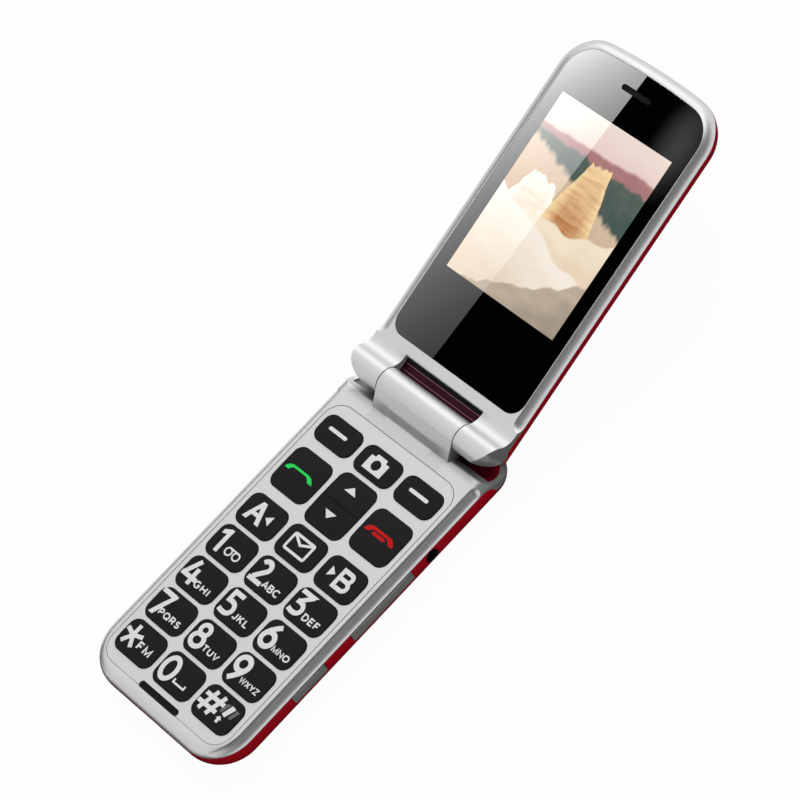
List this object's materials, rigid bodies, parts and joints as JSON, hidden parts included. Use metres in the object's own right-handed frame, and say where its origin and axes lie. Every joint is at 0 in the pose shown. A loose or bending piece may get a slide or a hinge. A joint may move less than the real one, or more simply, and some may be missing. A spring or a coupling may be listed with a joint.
{
  "type": "flip phone",
  "caption": "Flip phone with large keys and a hinged lid, open: silver faces, dark red back, black keys, camera in the lid.",
  "frame": {"origin": "centre of the flat back face of the keypad half, which the open phone lies on", "axes": "+X across the phone towards the side keys and the headset socket, +Y along it towards the hinge and the lid, +Z out of the keys"},
  "size_m": [0.0513, 0.1876, 0.038],
  "materials": {
    "silver_paint": "satin silver paint with a fine flake",
    "panel_paint": "satin silver paint",
    "red_gloss": "dark crimson gloss",
    "key_black": "satin black",
    "side_grey": "satin grey",
    "window_black": "clear gloss over a black border",
    "lens_black": "dark gloss",
    "lens_clear": "frosted clear",
    "black_plastic": "moulded black",
    "battery_case": "printed film over an aluminium can",
    "silicone": "clear moulded silicone",
    "dome_metal": "metal domes on film",
    "board_green": "solder resist",
    "steel": "plain",
    "gold": "gold plated",
    "flex_film": "amber film",
    "display_can": "display module with its metal bezel"
  },
  "bodies": {
    "base": {"front_shell": "silver_paint", "keypad_panel": "panel_paint", "mic_grille": "black_plastic", "keypad_mat": "silicone", "dome_sheet": "dome_metal", "main_board": "board_green", "shield_can": "steel", "side_switches": "steel", "rear_housing": "red_gloss", "battery_cover": "red_gloss", "battery": "battery_case", "battery_contacts": "gold", "sim_card_holder": "steel", "loudspeaker": "black_plastic", "vibration_motor": "steel", "microphone": "gold", "headset_jack": "black_plastic", "usb_socket": "steel", "housing_screws": "steel", "hinge_cartridge": "steel", "flex_cable": "flex_film"},
    "lid": {"inner_shell": "silver_paint", "outer_shell": "red_gloss", "window": "window_black", "display_module": "display_can", "lid_board": "board_green", "earpiece": "black_plastic", "earpiece_mesh": "black_plastic", "camera_module": "black_plastic", "camera_window": "lens_black", "flash_lens": "lens_clear", "shut_magnet": "steel", "cam_follower": "steel", "pivot_bush": "steel"},
    "left_soft_key_body": {"left_soft_key": "key_black"},
    "camera_key_body": {"camera_key": "key_black"},
    "right_soft_key_body": {"right_soft_key": "key_black"},
    "call_key_body": {"call_key": "key_black"},
    "end_key_body": {"end_key": "key_black"},
    "memory_a_key_body": {"memory_a_key": "key_black"},
    "message_key_body": {"message_key": "key_black"},
    "memory_b_key_body": {"memory_b_key": "key_black"},
    "key_1_body": {"key_1": "key_black"},
    "key_2_body": {"key_2": "key_black"},
    "key_3_body": {"key_3": "key_black"},
    "key_4_body": {"key_4": "key_black"},
    "key_5_body": {"key_5": "key_black"},
    "key_6_body": {"key_6": "key_black"},
    "key_7_body": {"key_7": "key_black"},
    "key_8_body": {"key_8": "key_black"},
    "key_9_body": {"key_9": "key_black"},
    "star_key_body": {"star_key": "key_black"},
    "key_0_body": {"key_0": "key_black"},
    "hash_key_body": {"hash_key": "key_black"},
    "nav_key_body": {"nav_key": "key_black"},
    "volume_rocker_body": {"volume_rocker": "side_grey"},
    "side_key_body": {"side_key": "side_grey"},
    "emergency_key_body": {"emergency_key": "key_black"}
  },
  "joints": [
    {"name": "lid_hinge", "type": "hinge", "parent": "base", "child": "lid", "pos_m": [0, 0.04595, 0.01195], "axis": [1, 0, 0], "range_deg": [0, 163.3]},
    {"name": "left_soft_key_press", "type": "slide", "parent": "base", "child": "left_soft_key_body", "axis": [0, 0, -1], "range_m": [0, 0.00035], "stiffness_N_per_m": 2000, "springref_m": -0.0004},
    {"name": "camera_key_press", "type": "slide", "parent": "base", "child": "camera_key_body", "axis": [0, 0, -1], "range_m": [0, 0.00035], "stiffness_N_per_m": 2000, "springref_m": -0.0004},
    {"name": "right_soft_key_press", "type": "slide", "parent": "base", "child": "right_soft_key_body", "axis": [0, 0, -1], "range_m": [0, 0.00035], "stiffness_N_per_m": 2000, "springref_m": -0.0004},
    {"name": "call_key_press", "type": "slide", "parent": "base", "child": "call_key_body", "axis": [0, 0, -1], "range_m": [0, 0.00035], "stiffness_N_per_m": 2000, "springref_m": -0.0004},
    {"name": "end_key_press", "type": "slide", "parent": "base", "child": "end_key_body", "axis": [0, 0, -1], "range_m": [0, 0.00035], "stiffness_N_per_m": 2000, "springref_m": -0.0004},
    {"name": "memory_a_key_press", "type": "slide", "parent": "base", "child": "memory_a_key_body", "axis": [0, 0, -1], "range_m": [0, 0.00035], "stiffness_N_per_m": 2000, "springref_m": -0.0004},
    {"name": "message_key_press", "type": "slide", "parent": "base", "child": "message_key_body", "axis": [0, 0, -1], "range_m": [0, 0.00035], "stiffness_N_per_m": 2000, "springref_m": -0.0004},
    {"name": "memory_b_key_press", "type": "slide", "parent": "base", "child": "memory_b_key_body", "axis": [0, 0, -1], "range_m": [0, 0.00035], "stiffness_N_per_m": 2000, "springref_m": -0.0004},
    {"name": "key_1_press", "type": "slide", "parent": "base", "child": "key_1_body", "axis": [0, 0, -1], "range_m": [0, 0.00035], "stiffness_N_per_m": 2000, "springref_m": -0.0004},
    {"name": "key_2_press", "type": "slide", "parent": "base", "child": "key_2_body", "axis": [0, 0, -1], "range_m": [0, 0.00035], "stiffness_N_per_m": 2000, "springref_m": -0.0004},
    {"name": "key_3_press", "type": "slide", "parent": "base", "child": "key_3_body", "axis": [0, 0, -1], "range_m": [0, 0.00035], "stiffness_N_per_m": 2000, "springref_m": -0.0004},
    {"name": "key_4_press", "type": "slide", "parent": "base", "child": "key_4_body", "axis": [0, 0, -1], "range_m": [0, 0.00035], "stiffness_N_per_m": 2000, "springref_m": -0.0004},
    {"name": "key_5_press", "type": "slide", "parent": "base", "child": "key_5_body", "axis": [0, 0, -1], "range_m": [0, 0.00035], "stiffness_N_per_m": 2000, "springref_m": -0.0004},
    {"name": "key_6_press", "type": "slide", "parent": "base", "child": "key_6_body", "axis": [0, 0, -1], "range_m": [0, 0.00035], "stiffness_N_per_m": 2000, "springref_m": -0.0004},
    {"name": "key_7_press", "type": "slide", "parent": "base", "child": "key_7_body", "axis": [0, 0, -1], "range_m": [0, 0.00035], "stiffness_N_per_m": 2000, "springref_m": -0.0004},
    {"name": "key_8_press", "type": "slide", "parent": "base", "child": "key_8_body", "axis": [0, 0, -1], "range_m": [0, 0.00035], "stiffness_N_per_m": 2000, "springref_m": -0.0004},
    {"name": "key_9_press", "type": "slide", "parent": "base", "child": "key_9_body", "axis": [0, 0, -1], "range_m": [0, 0.00035], "stiffness_N_per_m": 2000, "springref_m": -0.0004},
    {"name": "star_key_press", "type": "slide", "parent": "base", "child": "star_key_body", "axis": [0, 0, -1], "range_m": [0, 0.00035], "stiffness_N_per_m": 2000, "springref_m": -0.0004},
    {"name": "key_0_press", "type": "slide", "parent": "base", "child": "key_0_body", "axis": [0, 0, -1], "range_m": [0, 0.00035], "stiffness_N_per_m": 2000, "springref_m": -0.0004},
    {"name": "hash_key_press", "type": "slide", "parent": "base", "child": "hash_key_body", "axis": [0, 0, -1], "range_m": [0, 0.00035], "stiffness_N_per_m": 2000, "springref_m": -0.0004},
    {"name": "nav_rock", "type": "hinge", "parent": "base", "child": "nav_key_body", "pos_m": [0, 0.01598, 0.00835], "axis": [1, 0, 0], "range_deg": [-1.3, 1.3], "stiffness_Nm_per_rad": 0.05},
    {"name": "volume_rock", "type": "hinge", "parent": "base", "child": "volume_rocker_body", "pos_m": [0.0237, 0.0044, 0.0063], "axis": [0, 0, 1], "range_deg": [-1.5, 1.5], "stiffness_Nm_per_rad": 0.05},
    {"name": "side_key_press", "type": "slide", "parent": "base", "child": "side_key_body", "axis": [-1, 0, 0], "range_m": [0, 0.0003], "stiffness_N_per_m": 2000, "springref_m": -0.0004},
    {"name": "emergency_key_press", "type": "slide", "parent": "base", "child": "emergency_key_body", "axis": [0, 0, 1], "range_m": [0, 0.0003], "stiffness_N_per_m": 2000, "springref_m": -0.0004}
  ]
}
